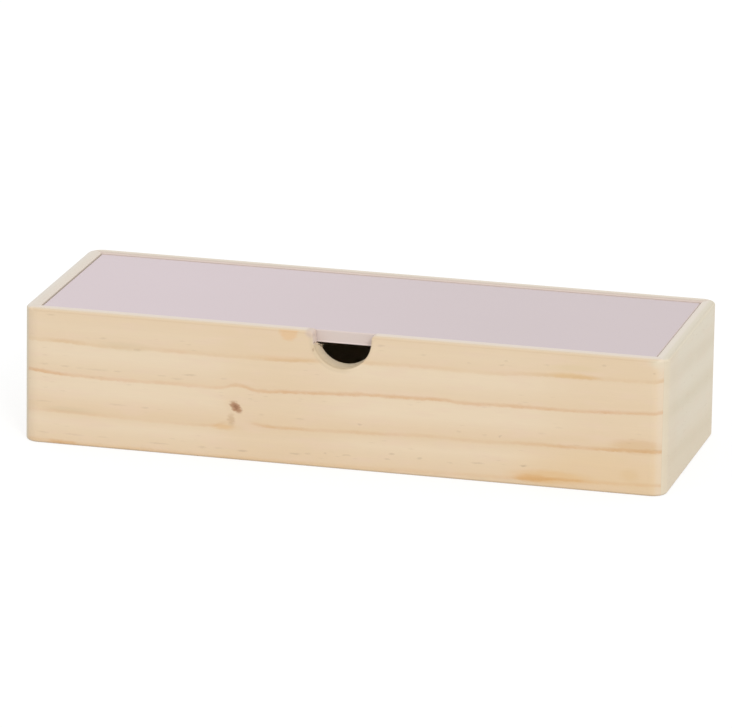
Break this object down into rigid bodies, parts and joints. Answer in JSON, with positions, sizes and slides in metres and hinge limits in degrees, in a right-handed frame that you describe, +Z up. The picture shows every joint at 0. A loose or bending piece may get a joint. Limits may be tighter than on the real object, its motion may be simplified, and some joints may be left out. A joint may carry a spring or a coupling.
{
  "type": "lidded wooden tool box",
  "caption": "Long shallow wooden tool box with mitred, rounded corners, a painted drop-in lid that lies on rebates inside the rim, and a finger notch in the front wall to lift it by.",
  "frame": {"origin": "centre of the box's footprint, on the surface that it stands on", "axes": "+Z up, +X along the box's length, +Y from the wall with the finger notch to the wall behind"},
  "size_m": [0.3, 0.11, 0.0635],
  "materials": {
    "pine_front": "pale pine, sanded, clear matt lacquer, warm flat-sawn grain",
    "pine_back": "pale pine, sanded, clear matt lacquer",
    "pine_ends": "paler pine with faint grain, sanded, clear matt lacquer",
    "plywood": "thin plywood, bare and sanded",
    "painted_lid": "smooth fibreboard painted pale lilac grey, matt",
    "spline_wood": "bare beech"
  },
  "bodies": {
    "box": {"front_wall": "pine_front", "back_wall": "pine_back", "left_wall": "pine_ends", "right_wall": "pine_ends", "bottom_panel": "plywood", "spline_front_left": "spline_wood", "spline_front_right": "spline_wood", "spline_back_left": "spline_wood", "spline_back_right": "spline_wood"},
    "lid": {"lid_panel": "painted_lid"}
  },
  "joints": [
    {"name": "lid_lift", "type": "slide", "parent": "box", "child": "lid", "axis": [0, 0, 1], "range_m": [0, 0.09]}
  ]
}
